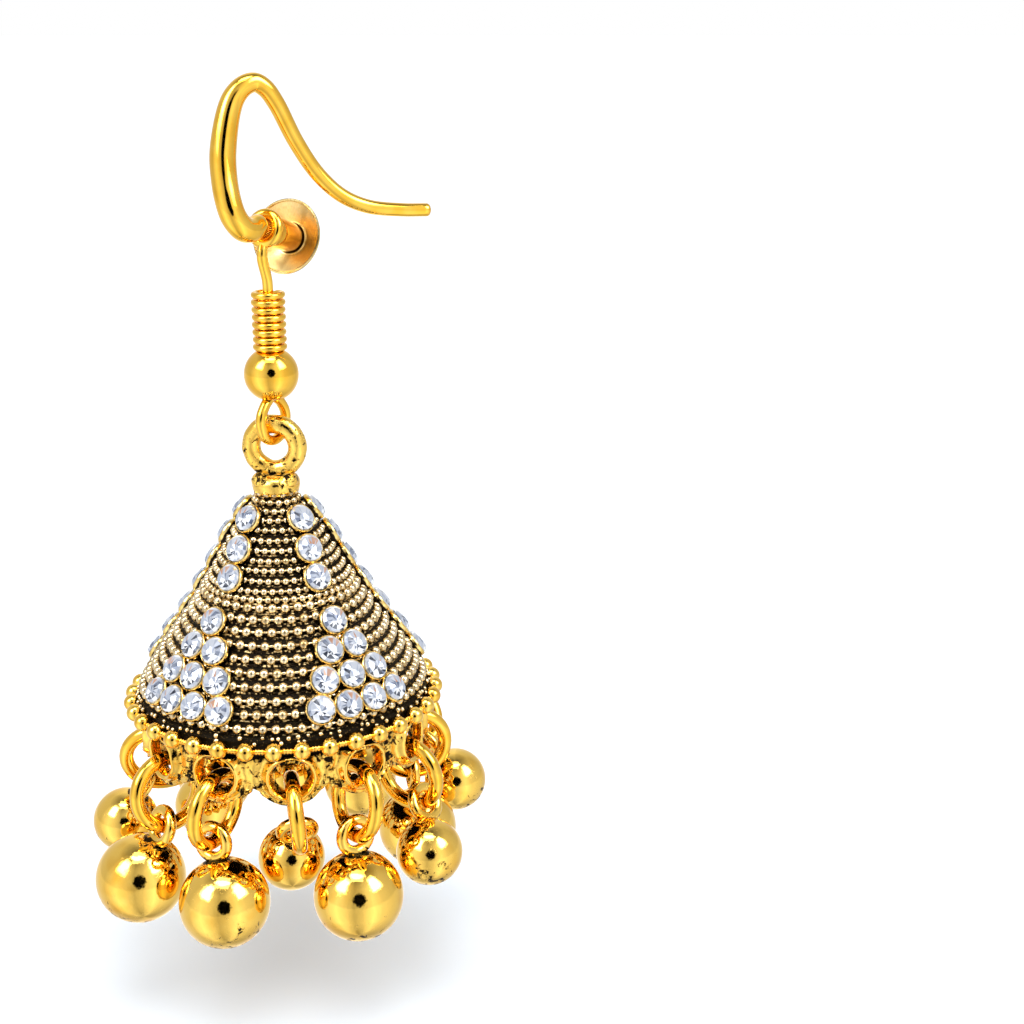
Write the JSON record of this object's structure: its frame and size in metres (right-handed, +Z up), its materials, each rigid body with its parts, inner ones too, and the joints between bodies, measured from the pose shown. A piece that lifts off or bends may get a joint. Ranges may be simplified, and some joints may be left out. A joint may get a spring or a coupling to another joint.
{
  "type": "jhumka earring",
  "caption": "Ear hook with a disc stop and a wire drop that carries a hollow bell-shaped dome of beaded rows set with clear stones, fringed with ball bells on rings.",
  "frame": {"origin": "the inner crown of the ear hook, where the ear carries the earring", "axes": "+Z up along the way the earring hangs, +X across the front towards the hook's tail, -Y out of the front of the dome"},
  "size_m": [0.0306, 0.0285, 0.0616],
  "materials": {
    "polished_gold": "bright gold plate over brass",
    "antique_gold": "antiqued gold plate with dark recesses",
    "stones": "clear cut glass in gold cups"
  },
  "bodies": {
    "hook": {"ear_hook": "polished_gold", "stop_barrel": "polished_gold", "stop_disc": "polished_gold"},
    "drop": {"drop_wire": "polished_gold", "coil_wrap": "polished_gold", "ball_bead": "polished_gold"},
    "dome": {"dome": "antique_gold", "jump_ring_1": "polished_gold", "jump_ring_2": "polished_gold", "jump_ring_3": "polished_gold", "jump_ring_4": "polished_gold", "jump_ring_5": "polished_gold", "jump_ring_6": "polished_gold", "jump_ring_7": "polished_gold", "jump_ring_8": "polished_gold", "jump_ring_9": "polished_gold", "jump_ring_10": "polished_gold", "jump_ring_11": "polished_gold", "jump_ring_12": "polished_gold", "bell_1": "antique_gold", "bell_2": "antique_gold", "bell_3": "antique_gold", "bell_4": "antique_gold", "bell_5": "antique_gold", "bell_6": "antique_gold", "bell_7": "antique_gold", "bell_8": "antique_gold", "bell_9": "antique_gold", "bell_10": "antique_gold", "bell_11": "antique_gold", "bell_12": "antique_gold", "stones_front_upper_left": "stones", "stones_front_lower_left": "stones", "stones_side_left": "stones", "stones_back_upper_left": "stones", "stones_back_lower_left": "stones", "stones_front_upper_right": "stones", "stones_front_lower_right": "stones", "stones_side_right": "stones", "stones_back_upper_right": "stones", "stones_back_lower_right": "stones"}
  },
  "joints": [
    {"name": "drop_swing", "type": "hinge", "parent": "hook", "child": "drop", "pos_m": [0, 0, -0.00935], "axis": [0.3671, 0.8851, -0.286], "range_deg": [-45, 45]},
    {"name": "dome_swing", "type": "hinge", "parent": "drop", "child": "dome", "pos_m": [0, 0, -0.02358], "axis": [0.9945, -0.1045, 0], "range_deg": [-25, 25]}
  ]
}
